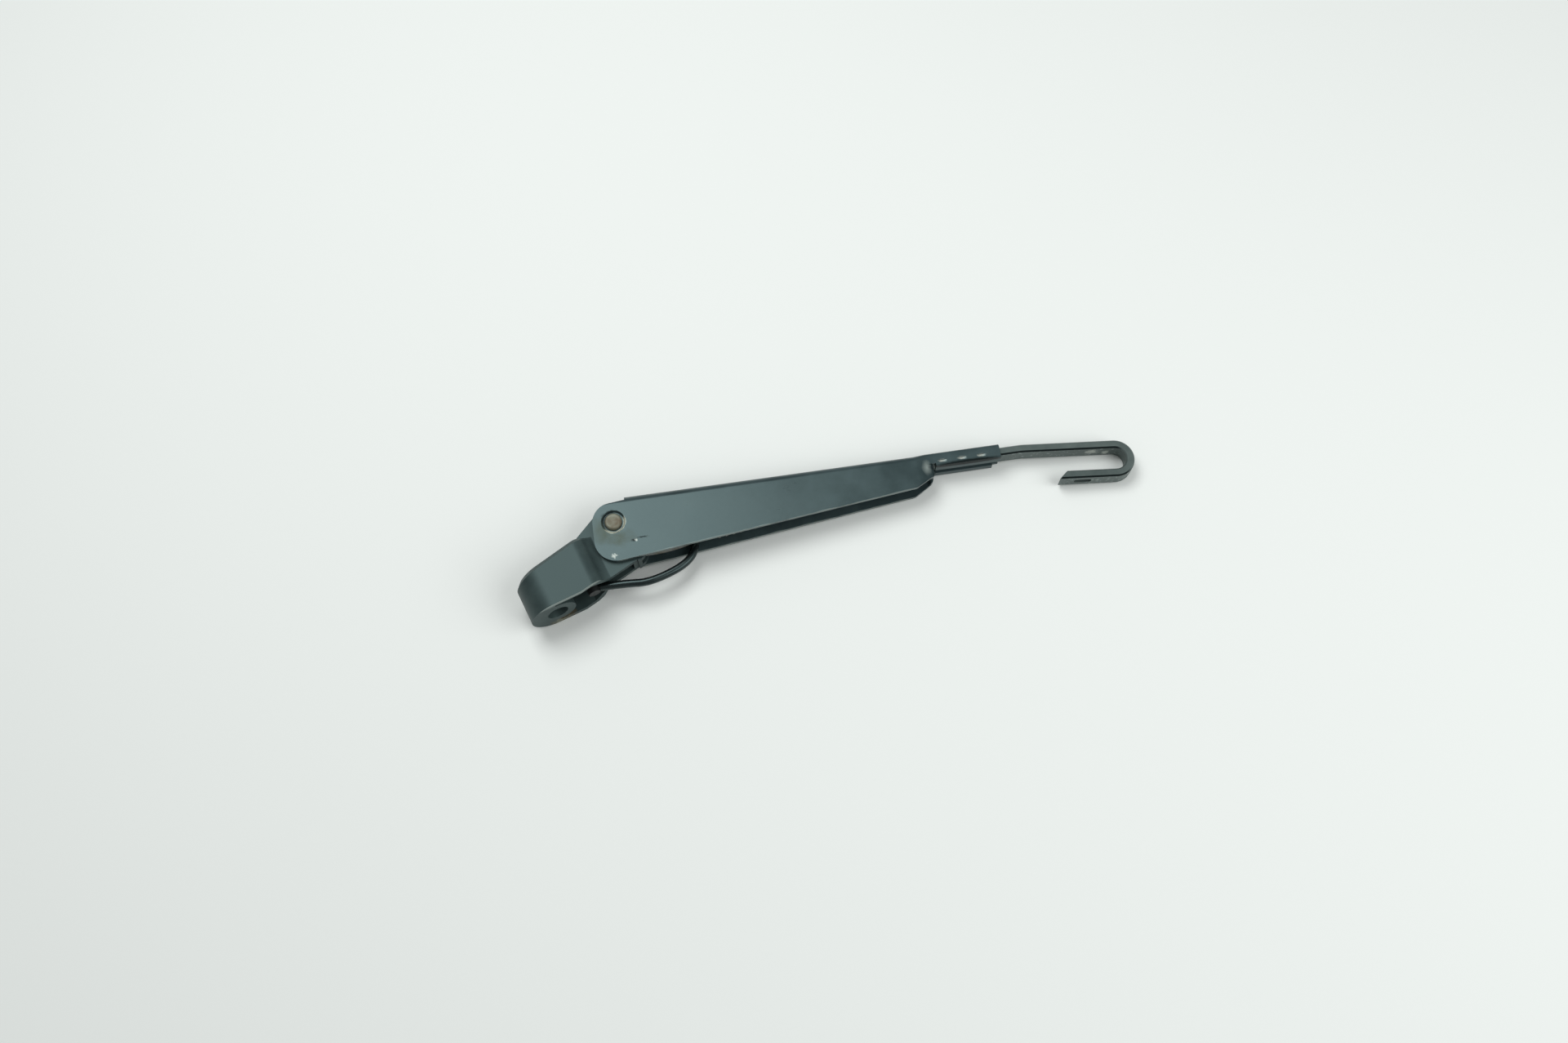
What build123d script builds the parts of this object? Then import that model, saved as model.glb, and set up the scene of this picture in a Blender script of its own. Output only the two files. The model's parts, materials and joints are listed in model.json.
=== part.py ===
from build123d import *
import math
import os

os.makedirs("parts", exist_ok=True)

# A short spring-loaded wiper arm, lying on its side. Millimetres. X runs along the arm's back towards the hook,
# Y points away from the glass and Z runs along the pivot. The origin is on the spindle axis, where the taper
# meets the bore. Head sizes are measured along the head's base and up from its mounting face. Arm sizes are
# measured from the pivot, along the arm's back and out towards it.

# Mounting head
head_lean = 18.3
pivot_reach = 41.0
pivot_height = 26.3
boss_radius = 13.0
boss_flat = 18.5
narrowing_length = 12.0
narrowing_tuck = 0.2
neck_width = 11.2
back_height = 21.5
back_slope = 11.0
back_knee = 17.0
back_knee_radius = 15.0
back_round = 2.0
lug_radius = 9.6
pin_lug_radius = 7.0
underside_start = 13.0
underside_slope = 9.5
wall = 2.8

# Spindle seat
taper_depth = 8.0
taper_mouth_radius = 5.05
bore_radius = 4.15
bore_length = 5.0
nut_recess_radius = 8.8
hub_radius = 9.0

# Hollow of the head
hollow_height = 10.0
hose_slot_width = 6.4
hose_slot_height = 15.0
fork_gap = 4.6
stop_gap = 0.2
stop_start = 4.5
stop_end = 9.5

# Pivot
rivet_radius = 3.0
rivet_head_radius = 4.05
rivet_head_height = 1.7
rivet_head_chamfer = 0.6
bush_wall = 1.15
running_clearance = 0.05
press_clearance = 0.02

# Pressed channel
sheet = 1.6
back_out = 13.1
pivot_width = 16.2
outer_width = 13.5
ear_radius = 9.8
ear_corner_radius = 10.5
ear_top_rise = 0.8
web_start = 6.2
flange_drop = 19.7
flange_slope = 6.2
flange_end_setback = 11.0
flange_step_out = 1.6
flange_end_round = 3.0
curl_radius = 3.4
curl_gap = 1.2
narrowing_run = 5.4
shoulder_radius = 5.4
outer_shoulder_radius = 4.2
dimple_radius = 5.7
dimple_floor_radius = 4.9
dimple_depth = 0.85

# Crimp over the bar
crimp_start = 155.5
crimp_length = 31.5
crimp_shoulder_radius = 2.2
crimp_lip_round = 1.5
lip_slit = 3.4
lip_slit_offset = 1.2
far_lip_setback = 3.2
stake_count = 3
stake_pitch = 9.46
stake_first = 3.34
stake_radius = 5.0
stake_depth = 0.55
stake_lift = 1.7
stake_height = 1.4

# Hook bar
bar_width = 9.0
bar_thickness = 4.0
bar_clearance = 0.05
bar_bend_setback = 11.0
bar_droop = 5.7
bar_bend_radius = 25.0
hook_setback = 55.1
hook_gap = 10.7
hook_leg = 27.6
hook_tip_chamfer = 1.0
hook_tip_slant = 4.0
hook_slot_length = 8.4
hook_slot_width = 2.8
hook_slot_from_tip = 11.4
bar_edge_chamfer = 0.7
tongue_setback = 1.9
tongue_bend_radius = 12.0
anchor_setback = 37.5
anchor_out = 0.4
anchor_hole_radius = 2.1
tongue_end = 3.2
tongue_thickness = 3.0
tongue_flat = 12.0

# Spring, its pin and its link
pin_along = 7.0
pin_out = -13.4
pin_radius = 2.0
link_length = 33.3
link_width = 4.2
link_thickness = 2.5
link_bow = 2.0
link_eye_radius = 4.0
link_end_radius = 2.6
link_hole_radius = 1.4
wire_radius = 0.9
coil_radius = 3.2
coil_turns = 19
coil_steps = 12
wire_sides = 5
loop_sink = 0.7
loop_wrap = 200.0

# Washer hose and its fittings
hose_radius = 1.9
hose_sides = 10
hose_bore = 1.1
hose_bore_sides = 8
arc_share = 0.45
nipple_length = 5.5
nipple_clearance = 0.05
hose_out = 6.2
clip_setback = 16.0
clip_length = 5.0
clip_grip = 0.35
jet_setback = 23.0
jet_length = 12.0
jet_rise = 2.8
spring_clearance = 0.25
jet_hole_radius = 2.0
elbow_radius = 2.9
fitting_clearance = 0.08
hose_straight = 31.0
hose_loop = [
    (46.0, 2.0, -3.6),
    (37.5, -9.0, -4.0),
    (34.0, -21.5, -1.6),
    (14.0, -29.6, 0.0),
    (1.5, -28.4, 0.0),
    (-10.0, -28.4, 0.0),
]

# Places along the arm, all set out from the crimp
crimp_end = crimp_start + crimp_length
curl_end = crimp_start - curl_gap
curl_start = curl_end - curl_radius
outer_width_at = curl_start - narrowing_run
flange_end = crimp_start - flange_end_setback
bar_bend = crimp_end + bar_bend_setback
hook_start = crimp_end + hook_setback
tongue_bend = curl_start - tongue_setback
anchor_along = crimp_start - anchor_setback
jet_start = anchor_along - jet_setback
clip_along = jet_start - clip_setback
hose_route = [(jet_start, hose_out, 0.0), (jet_start - hose_straight, hose_out, 0.0)] + hose_loop

# The head's plane and the arm's plane, which share the pivot
lean = math.radians(head_lean)
head = Plane(origin=(0, 0, 0), x_dir=(math.cos(lean), math.sin(lean), 0), z_dir=(0, 0, 1))
face_level = -taper_depth
pivot_level = face_level + pivot_height
pivot = head.from_local_coords((pivot_reach, pivot_level, 0))
arm = Plane(origin=pivot, x_dir=(1, 0, 0), z_dir=(0, 0, 1))
neck_half = neck_width / 2
bush_radius = rivet_radius + running_clearance + bush_wall


def arm_point(along, out, across=0.0):
    """A point given from the pivot, along the arm, out from the glass and across."""
    return arm.from_local_coords((along, out, across))


def head_point(arm_xy):
    """A point of the arm's plane, in the head's plane."""
    local = head.to_local_coords(arm_point(*arm_xy))
    return (local.X, local.Y)


def section_plane(along):
    """The plane across the arm at a station, with its own Y pointing out from the glass."""
    return Plane(origin=arm_point(along, 0), x_dir=(0, 0, -1), z_dir=(1, 0, 0))


def outer_half_width(along):
    """Half the channel's outer width on the stretch between the pivot and the crimp."""
    share = along / outer_width_at
    return (pivot_width + (outer_width - pivot_width) * share) / 2


def flange_edge(along):
    """How far out the flanges' free edge lies at a station."""
    return -flange_drop + along * math.tan(math.radians(flange_slope))


def back_level(along):
    """Height of the head's sloping back in the head's plane."""
    return face_level + back_height + along * math.tan(math.radians(back_slope))


# Mounting head
narrow_end = boss_flat + narrowing_length
narrow_half = neck_half - narrowing_tuck
narrow_middle = (boss_flat + narrow_end) / 2
middle_half = (boss_radius + narrow_half) / 2
neck_end = pivot_reach + lug_radius + pin_lug_radius
stop_inset = neck_half - outer_half_width(stop_end) + shoulder_radius
stop_level = back_out - shoulder_radius + math.sqrt((shoulder_radius - sheet) ** 2 - stop_inset**2) - stop_gap
pin_in_head = head_point((pin_along, pin_out))
knee = (back_knee, back_level(back_knee))
knee_to_pivot = Vector(pivot_reach, pivot_level) - Vector(*knee)
tangent_angle = math.atan2(knee_to_pivot.Y, knee_to_pivot.X) + math.asin(lug_radius / knee_to_pivot.length)
tangent_length = math.sqrt(knee_to_pivot.length**2 - lug_radius**2)
crest = (
    knee[0] + tangent_length * math.cos(tangent_angle),
    knee[1] + tangent_length * math.sin(tangent_angle),
)
underside_at_pin = face_level + (pin_in_head[0] - underside_start) * math.tan(math.radians(underside_slope))
mounting_plane = Plane(
    origin=head.from_local_coords((0, face_level, 0)), x_dir=head.x_dir, z_dir=head.y_dir
)
spindle_plane = Plane(origin=(0, 0, 0), x_dir=head.x_dir, z_dir=head.y_dir)

with BuildPart() as mounting_head:
    # Boss in plan: round end about the spindle, straight flanks, then a narrowing to the neck
    with BuildSketch(mounting_plane):
        with BuildLine():
            Line((boss_flat, boss_radius), (0, boss_radius))
            ThreePointArc((0, boss_radius), (-boss_radius, 0), (0, -boss_radius))
            Line((0, -boss_radius), (boss_flat, -boss_radius))
            near = TangentArc((boss_flat, -boss_radius), (narrow_middle, -middle_half), tangent=(1, 0))
            TangentArc((narrow_middle, -middle_half), (narrow_end, -narrow_half), tangent=near % 1)
            Line((narrow_end, -narrow_half), (narrow_end, narrow_half))
            far = TangentArc((narrow_end, narrow_half), (narrow_middle, middle_half), tangent=(-1, 0))
            TangentArc((narrow_middle, middle_half), (boss_flat, boss_radius), tangent=far % 1)
        make_face()
    extrude(amount=pivot_height + lug_radius)
    # Sloping back with a broken edge
    with BuildSketch(head):
        with BuildLine():
            Polyline(
                (-2 * boss_radius, face_level),
                (neck_end, face_level),
                (neck_end, back_level(neck_end)),
                (-2 * boss_radius, back_level(-2 * boss_radius)),
                close=True,
            )
        make_face()
    extrude(amount=2 * boss_radius, both=True, mode=Mode.INTERSECT)
    back = mounting_head.faces().filter_by(lambda f: f.normal_at().dot(head.y_dir) > 0.9)
    back_edges = back.edges().filter_by(lambda e: head.to_local_coords(e.center()).X < narrow_end - press_clearance)
    chamfer(back_edges, back_round)
    # Neck that rises from the back to the lugs of the pivot and of the spring pin
    with BuildSketch(head) as flank:
        with Locations((pivot_reach, pivot_level)):
            Circle(lug_radius)
        with Locations(pin_in_head):
            Circle(pin_lug_radius)
        make_hull()
        with BuildLine():
            Polyline(
                (hub_radius, face_level),
                (pin_in_head[0], face_level),
                (pivot_reach, pivot_level),
                crest,
                knee,
                (hub_radius, back_level(hub_radius)),
                close=True,
            )
        make_face()
        fillet(flank.vertices().sort_by_distance(knee)[0], back_knee_radius)
        with BuildLine():
            Polyline(
                (pivot_reach, pivot_level),
                head_point((0, lug_radius)),
                head_point((stop_start, stop_level)),
                head_point((stop_end, stop_level)),
                head_point((stop_end, 0)),
                close=True,
            )
        make_face()
    extrude(amount=neck_half, both=True)
    # Underside that rises from the mounting face towards the pivot
    with BuildSketch(head):
        with BuildLine():
            Polyline(
                (underside_start, face_level),
                (pin_in_head[0], underside_at_pin),
                (pin_in_head[0], face_level - wall),
                (underside_start, face_level - wall),
                close=True,
            )
        make_face()
    extrude(amount=2 * boss_radius, both=True, mode=Mode.SUBTRACT)
    # Spindle seat: taper from the mounting face, straight bore, then the nut's recess
    with Locations(spindle_plane.offset(-taper_depth)):
        Cone(
            taper_mouth_radius, bore_radius, taper_depth,
            align=(Align.CENTER, Align.CENTER, Align.MIN), mode=Mode.SUBTRACT,
        )
    with BuildSketch(spindle_plane):
        Circle(bore_radius)
    extrude(amount=bore_length, mode=Mode.SUBTRACT)
    with BuildSketch(spindle_plane.offset(bore_length)):
        Circle(nut_recess_radius)
    extrude(amount=back_height, mode=Mode.SUBTRACT)
    # Hollow underside between the hub and the neck, and the hose's slot along the neck
    with BuildSketch(mounting_plane):
        with BuildLine():
            Polyline(
                (0, boss_radius - wall),
                (boss_flat, boss_radius - wall),
                (narrow_end - wall, hose_slot_width / 2),
                (narrow_end - wall, -hose_slot_width / 2),
                (boss_flat, wall - boss_radius),
                (0, wall - boss_radius),
                close=True,
            )
        make_face()
        Circle(hub_radius, mode=Mode.SUBTRACT)
    extrude(amount=hollow_height, mode=Mode.SUBTRACT)
    with BuildSketch(mounting_plane):
        with Locations(((narrow_end + pivot_reach) / 2 - wall, 0)):
            Rectangle(pivot_reach - narrow_end + 2 * wall, hose_slot_width)
    extrude(amount=hose_slot_height, mode=Mode.SUBTRACT)
    # Fork for the spring's link, open from the pivot outwards
    with BuildSketch(arm):
        with Locations((neck_end / 2, 0)):
            Rectangle(neck_end, 4 * lug_radius)
    extrude(amount=fork_gap / 2, both=True, mode=Mode.SUBTRACT)
    # Holes for the pivot bush and the spring pin
    with BuildSketch(arm):
        Circle(bush_radius + press_clearance)
        with Locations((pin_along, pin_out)):
            Circle(pin_radius + press_clearance)
    extrude(amount=neck_width, both=True, mode=Mode.SUBTRACT)
mounting_head.part.label = "mounting_head"
export_step(mounting_head.part, "parts/mounting_head.step")

# Pivot bush: sleeve across the neck
with BuildPart() as pivot_bush:
    with BuildSketch(arm):
        Circle(bush_radius)
        Circle(rivet_radius + running_clearance, mode=Mode.SUBTRACT)
    extrude(amount=neck_half, both=True)
pivot_bush.part.label = "pivot_bush"
export_step(pivot_bush.part, "parts/pivot_bush.step")

# Arm channel
ear_floor = outer_half_width(0) - dimple_depth
crimp_half = bar_width / 2 + bar_clearance + sheet
lip_top = back_out - sheet - bar_thickness - 2 * bar_clearance
lip_bottom = lip_top - sheet
deep = -3 * flange_drop
past_end = crimp_end + sheet
stations = [
    (-2 * ear_radius, outer_half_width(-2 * ear_radius), shoulder_radius),
    (outer_width_at, outer_half_width(outer_width_at), outer_shoulder_radius),
    (curl_start, crimp_half, crimp_shoulder_radius),
    (past_end, crimp_half, crimp_shoulder_radius),
]


def channel_section(along, half_width, radius, thickness):
    """Closed section of the channel, drawn in by a thickness on its sides and back."""
    with BuildSketch(section_plane(along)) as section:
        top = back_out - thickness
        with Locations((0, (top + deep) / 2)):
            Rectangle(2 * (half_width - thickness), top - deep)
        # Two rounds of chamfers that touch the corner's arc
        corner = radius - thickness
        chamfer(section.vertices().group_by(Axis.Y)[-1], (2 - math.sqrt(2)) * corner)
        rows = section.vertices().group_by(Axis.Y)
        chamfer(rows[-1] + rows[-2], (math.tan(math.pi / 8) - math.tan(math.pi / 16)) * corner)
    return section.sketch


with BuildPart() as arm_channel:
    # Folded sheet: the outer form less the inner one
    loft([channel_section(*station, 0) for station in stations], ruled=True)
    loft([channel_section(*station, sheet) for station in stations], ruled=True, mode=Mode.SUBTRACT)
    # Flange ends that curl in ahead of the crimp
    plan = Plane(origin=arm_point(curl_start, lip_top), x_dir=(1, 0, 0), z_dir=(0, -1, 0))
    curl_across = crimp_half - curl_radius
    for side_sign in (1, -1):
        with BuildSketch(plan):
            with Locations((curl_radius / 2, side_sign * (curl_across + curl_radius / 2))):
                Rectangle(curl_radius, curl_radius)
            with Locations((0, side_sign * curl_across)):
                Circle(curl_radius, mode=Mode.SUBTRACT)
        extrude(amount=lip_top - deep, mode=Mode.SUBTRACT)
        with BuildSketch(plan):
            with Locations((curl_radius / 2, side_sign * (curl_across + curl_radius / 2))):
                Rectangle(curl_radius, curl_radius)
            with Locations((0, side_sign * curl_across)):
                Circle(curl_radius, mode=Mode.INTERSECT)
                Circle(curl_radius - sheet, mode=Mode.SUBTRACT)
        extrude(amount=lip_top - deep)
    # Side outline: rounded ears about the pivot, tapering flanges and the crimped end
    with BuildSketch(arm) as side:
        with BuildLine():
            Polyline(
                (-ear_radius, 0),
                (-ear_radius, flange_edge(-ear_radius)),
                (flange_end, flange_edge(flange_end)),
                (curl_end, flange_step_out),
                (curl_end, lip_top),
                (crimp_end, lip_top),
                (crimp_end, back_out + sheet),
                (web_start, back_out + sheet),
                (web_start, ear_radius + ear_top_rise),
                (0, ear_radius),
                (0, 0),
                close=True,
            )
        make_face()
        fillet(side.vertices().sort_by_distance((-ear_radius, flange_edge(-ear_radius)))[0], ear_corner_radius)
        fillet(side.vertices().sort_by_distance((flange_end, flange_edge(flange_end)))[0], flange_end_round)
        fillet(side.vertices().sort_by_distance((curl_end, flange_step_out))[0], flange_end_round)
        Circle(ear_radius)
    extrude(amount=pivot_width, both=True, mode=Mode.INTERSECT)
    # Lips folded over the bar, with the slit where they meet
    near_lip = (-crimp_half, lip_slit_offset - lip_slit / 2, crimp_length)
    far_lip = (crimp_half, lip_slit_offset + lip_slit / 2, crimp_length - far_lip_setback)
    for fold_at, free_edge, lip_length in (near_lip, far_lip):
        with BuildSketch(section_plane(crimp_start)) as lip:
            with Locations(((fold_at + free_edge) / 2, (lip_top + lip_bottom) / 2)):
                Rectangle(abs(fold_at - free_edge), sheet)
            fillet(lip.vertices().sort_by_distance(arm_point(crimp_start, lip_bottom, -fold_at))[0], crimp_lip_round)
        extrude(amount=lip_length)
    # Stake marks pressed into the crimp's sides
    stake_across = crimp_half + stake_radius - stake_depth
    stake_middle = crimp_start + stake_first + stake_pitch * (stake_count - 1) / 2
    stake_top = lip_bottom + stake_lift + stake_height
    with BuildSketch(Plane(origin=arm_point(stake_middle, stake_top), x_dir=(1, 0, 0), z_dir=(0, -1, 0))):
        with GridLocations(stake_pitch, 2 * stake_across, stake_count, 2):
            Circle(stake_radius)
    extrude(amount=stake_height, mode=Mode.SUBTRACT)
    # Round dimples pressed into the ears, which bear on the ends of the bush
    ear_inside = neck_half + running_clearance
    for ear in (arm, Plane(origin=pivot, x_dir=(1, 0, 0), z_dir=(0, 0, -1))):
        with BuildSketch(ear.offset(ear_inside)):
            Circle(dimple_floor_radius)
        with BuildSketch(ear.offset(ear_inside + dimple_depth)):
            Circle(dimple_radius)
        loft()
        with BuildSketch(ear.offset(ear_floor)):
            Circle(dimple_floor_radius)
        with BuildSketch(ear.offset(ear_floor + 2 * dimple_depth)):
            Circle(dimple_radius + dimple_depth)
        loft(mode=Mode.SUBTRACT)
    with BuildSketch(arm):
        Circle(rivet_radius + press_clearance)
    extrude(amount=pivot_width, both=True, mode=Mode.SUBTRACT)
    # Hole for the jet in the far flange
    jet_along = jet_start + jet_length / 2
    with BuildSketch(arm):
        with Locations((jet_along, hose_out)):
            Circle(jet_hole_radius)
    extrude(amount=-pivot_width, mode=Mode.SUBTRACT)
arm_channel.part.label = "arm_channel"
export_step(arm_channel.part, "parts/arm_channel.step")

# Pivot rivet: shank through both ears and a head in each dimple
with BuildPart() as pivot_rivet:
    with BuildSketch(arm):
        Circle(rivet_radius)
    extrude(amount=ear_floor, both=True)
    for ear in (arm, Plane(origin=pivot, x_dir=(1, 0, 0), z_dir=(0, 0, -1))):
        with BuildSketch(ear.offset(ear_floor)):
            Circle(rivet_head_radius)
        extrude(amount=rivet_head_height)
    ends = pivot_rivet.edges().filter_by(GeomType.CIRCLE).group_by(Axis.Z)
    chamfer(ends[0] + ends[-1], rivet_head_chamfer)
pivot_rivet.part.label = "pivot_rivet"
export_step(pivot_rivet.part, "parts/pivot_rivet.step")

# Hook bar: tongue inside the channel, straight stretch in the crimp, droop, then the U hook
bar_out = back_out - sheet - bar_clearance - bar_thickness / 2
droop = math.radians(bar_droop)
tongue = math.atan2(bar_out - anchor_out, tongue_bend - anchor_along)
tongue_tip = (anchor_along - tongue_end * math.cos(tongue), anchor_out - tongue_end * math.sin(tongue))
hook_top = (hook_start, bar_out - (hook_start - bar_bend) * math.tan(droop))
hook_radius = (hook_gap + bar_thickness) / 2
hook_down = Vector(-math.sin(droop), -math.cos(droop))
hook_back = Vector(-math.cos(droop), math.sin(droop))
hook_middle = Vector(*hook_top) + hook_down * hook_radius - hook_back * hook_radius
hook_bottom = Vector(*hook_top) + hook_down * 2 * hook_radius
hook_tip = hook_bottom + hook_back * hook_leg

with BuildPart() as hook_bar:
    with BuildSketch(arm):
        with BuildLine():
            FilletPolyline(
                tongue_tip,
                (tongue_bend, bar_out),
                (bar_bend, bar_out),
                hook_top,
                radius=[tongue_bend_radius, bar_bend_radius],
            )
            ThreePointArc(hook_top, hook_middle, hook_bottom)
            Line(hook_bottom, hook_tip)
        trace(line_width=bar_thickness)
    extrude(amount=bar_width / 2, both=True)
    # Chamfered tip and long edges, and the slot in the free leg
    tip = arm_point(hook_tip.X, hook_tip.Y)
    tip_corners = hook_bar.edges().filter_by(
        lambda e: abs(e.length - bar_thickness) < bar_clearance and (e.center() - tip).length < bar_width
    )
    chamfer(tip_corners, hook_tip_chamfer)
    long_edges = hook_bar.faces().filter_by(Axis.Z).edges()
    chamfer(long_edges.filter_by(lambda e: e.length > bar_thickness + bar_clearance), bar_edge_chamfer)
    slot_at = hook_tip - hook_back * hook_slot_from_tip
    with BuildSketch(
        Plane(origin=arm_point(slot_at.X, slot_at.Y), x_dir=(-hook_back.X, -hook_back.Y, 0), z_dir=hook_down)
    ):
        SlotOverall(hook_slot_length, hook_slot_width)
    extrude(amount=bar_thickness, both=True, mode=Mode.SUBTRACT)
    # Slanted end of the free leg
    with BuildSketch(Plane(origin=tip, x_dir=(-hook_back.X, -hook_back.Y, 0), z_dir=(0, 0, 1))):
        with BuildLine():
            Polyline(
                (-bar_thickness, -bar_thickness / 2),
                (0, -bar_thickness / 2),
                (hook_tip_slant, bar_thickness / 2),
                (hook_tip_slant, bar_thickness),
                (-bar_thickness, bar_thickness),
                close=True,
            )
        make_face()
    extrude(amount=bar_width, both=True, mode=Mode.SUBTRACT)
    # Tongue pressed thinner where the spring hooks on
    for face_sign in (1, -1):
        with BuildSketch(Plane(origin=arm_point(*tongue_tip), x_dir=(math.cos(tongue), math.sin(tongue), 0))):
            with Locations((tongue_flat / 2, face_sign * (tongue_thickness + bar_thickness) / 2)):
                Rectangle(tongue_flat, bar_thickness)
        extrude(amount=bar_width, both=True, mode=Mode.SUBTRACT)
    # Hole that anchors the spring
    with BuildSketch(
        Plane(
            origin=arm_point(anchor_along, anchor_out),
            x_dir=(math.cos(tongue), math.sin(tongue), 0),
            z_dir=(-math.sin(tongue), math.cos(tongue), 0),
        )
    ):
        Circle(anchor_hole_radius)
    extrude(amount=bar_thickness, both=True, mode=Mode.SUBTRACT)
hook_bar.part.label = "hook_bar"
export_step(hook_bar.part, "parts/hook_bar.step")

# Spring pin across the fork
with BuildPart() as spring_pin:
    with BuildSketch(arm):
        with Locations((pin_along, pin_out)):
            Circle(pin_radius)
    extrude(amount=neck_half, both=True)
spring_pin.part.label = "spring_pin"
export_step(spring_pin.part, "parts/spring_pin.step")

# Spring link: bowed strap from the pin towards the anchor
pull = Vector(anchor_along - pin_along, anchor_out - pin_out)
pull_angle = math.degrees(math.atan2(pull.Y, pull.X))
link_plane = Plane(
    origin=arm_point(pin_along, pin_out),
    x_dir=(math.cos(math.radians(pull_angle)), math.sin(math.radians(pull_angle)), 0),
    z_dir=(0, 0, 1),
)
with BuildPart() as spring_link:
    with BuildSketch(link_plane):
        with BuildLine():
            ThreePointArc((0, 0), (link_length / 2, -link_bow), (link_length, 0))
        trace(line_width=link_width)
        Circle(link_eye_radius)
        with Locations((link_length, 0)):
            Circle(link_end_radius)
            Circle(link_hole_radius, mode=Mode.SUBTRACT)
        Circle(pin_radius + running_clearance, mode=Mode.SUBTRACT)
    extrude(amount=link_thickness / 2, both=True)
spring_link.part.label = "spring_link"
export_step(spring_link.part, "parts/spring_link.step")

# Tension spring: coils between two open loops set square to each other, all of one wire
near_loop = link_length + coil_radius
far_loop = pull.length - coil_radius
coil_start = near_loop + loop_sink * coil_radius
coil_length = far_loop - loop_sink * coil_radius - coil_start
quarter_turns = coil_turns + 0.25
loop_steps = math.ceil(coil_steps * loop_wrap / 360)


def turn_point(along, angle):
    """A point of the coil, by its place on the spring's axis and its angle about it."""
    across = coil_radius * math.cos(angle)
    return link_plane.from_local_coords((along, coil_radius * math.sin(angle), across))


wire_route = []
for n in range(loop_steps, -1, -1):
    angle = math.radians(90 + n * loop_wrap / loop_steps)
    wire_route.append(
        link_plane.from_local_coords(
            (near_loop + coil_radius * math.cos(angle), 0, coil_radius * math.sin(angle))
        )
    )
for n in range(round(quarter_turns * coil_steps) + 1):
    share = n / (quarter_turns * coil_steps)
    wire_route.append(turn_point(coil_start + share * coil_length, 2 * math.pi * n / coil_steps))
for n in range(loop_steps + 1):
    angle = math.radians(90 - n * loop_wrap / loop_steps)
    wire_route.append(
        link_plane.from_local_coords((far_loop + coil_radius * math.cos(angle), coil_radius * math.sin(angle), 0))
    )

with BuildPart() as tension_spring:
    with BuildLine() as wire:
        Polyline(*wire_route)
    with BuildSketch(Plane(origin=wire.line @ 0, z_dir=wire.line % 0)):
        RegularPolygon(wire_radius, wire_sides)
    sweep(transition=Transition.RIGHT)
tension_spring.part.label = "tension_spring"
export_step(tension_spring.part, "parts/tension_spring.step")

# Washer hose: straight runs joined by arcs as large as the runs allow
hose_points = [arm_point(*point) for point in hose_route]
hose_radii = []
for before, corner, after in zip(hose_points, hose_points[1:], hose_points[2:]):
    turn = math.radians((corner - before).get_angle(after - corner))
    shorter = min((corner - before).length, (after - corner).length)
    hose_radii.append(arc_share * shorter / math.tan(turn / 2))
print("hose arc radii", [round(radius, 1) for radius in hose_radii])

with BuildPart() as washer_hose:
    with BuildLine() as route:
        FilletPolyline(*hose_points, radius=hose_radii)
    with BuildSketch(Plane(origin=route.line @ 0, z_dir=route.line % 0)):
        RegularPolygon(hose_radius, hose_sides, major_radius=False)
        RegularPolygon(hose_bore, hose_bore_sides, major_radius=False, mode=Mode.SUBTRACT)
    sweep()
print("hose length", round(route.wires()[0].length, 1))
washer_hose.part.label = "washer_hose"
export_step(washer_hose.part, "parts/washer_hose.step")

# Hose clip: block between the flanges with an open saddle for the hose
clip_half = outer_half_width(clip_along) - sheet - fitting_clearance
clip_top = back_out - sheet - fitting_clearance
saddle_radius = hose_radius + clip_grip
with BuildPart() as hose_clip:
    with BuildSketch(section_plane(clip_along - clip_length / 2)) as saddle:
        with Locations((0, (clip_top + hose_out) / 2)):
            Rectangle(2 * clip_half, clip_top - hose_out)
        fillet(saddle.vertices().group_by(Axis.Y)[-1], shoulder_radius - sheet)
        with Locations((0, hose_out)):
            Circle(saddle_radius + wall / 2)
            Circle(saddle_radius, mode=Mode.SUBTRACT)
        with Locations((0, hose_out - saddle_radius)):
            Rectangle(2 * hose_bore, 2 * saddle_radius, mode=Mode.SUBTRACT)
    extrude(amount=clip_length)
hose_clip.part.label = "hose_clip"
export_step(hose_clip.part, "parts/hose_clip.step")

# Washer jet: block between the flanges, with a nipple for the hose and a spout through the far flange
nipple_radius = hose_bore - nipple_clearance
jet_half = outer_half_width(jet_start + jet_length) - sheet - fitting_clearance
jet_top = hose_out + jet_rise
jet_reach = jet_start + jet_length - pin_along
spring_top = pin_out + (jet_reach * pull.Y + (coil_radius + wire_radius) * pull.length) / pull.X
jet_bottom = spring_top + spring_clearance
with BuildPart() as washer_jet:
    with BuildSketch(section_plane(jet_start)) as block:
        with Locations((0, (jet_top + jet_bottom) / 2)):
            Rectangle(2 * jet_half, jet_top - jet_bottom)
        fillet(block.vertices(), hose_bore)
    extrude(amount=jet_length)
    with BuildSketch(section_plane(jet_start)):
        with Locations((0, hose_out)):
            Circle(nipple_radius)
    extrude(amount=-nipple_length)
    with BuildSketch(arm):
        with Locations((jet_along, hose_out)):
            Circle(jet_hole_radius - press_clearance)
    extrude(amount=-outer_half_width(jet_along))
washer_jet.part.label = "washer_jet"
export_step(washer_jet.part, "parts/washer_jet.step")

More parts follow.
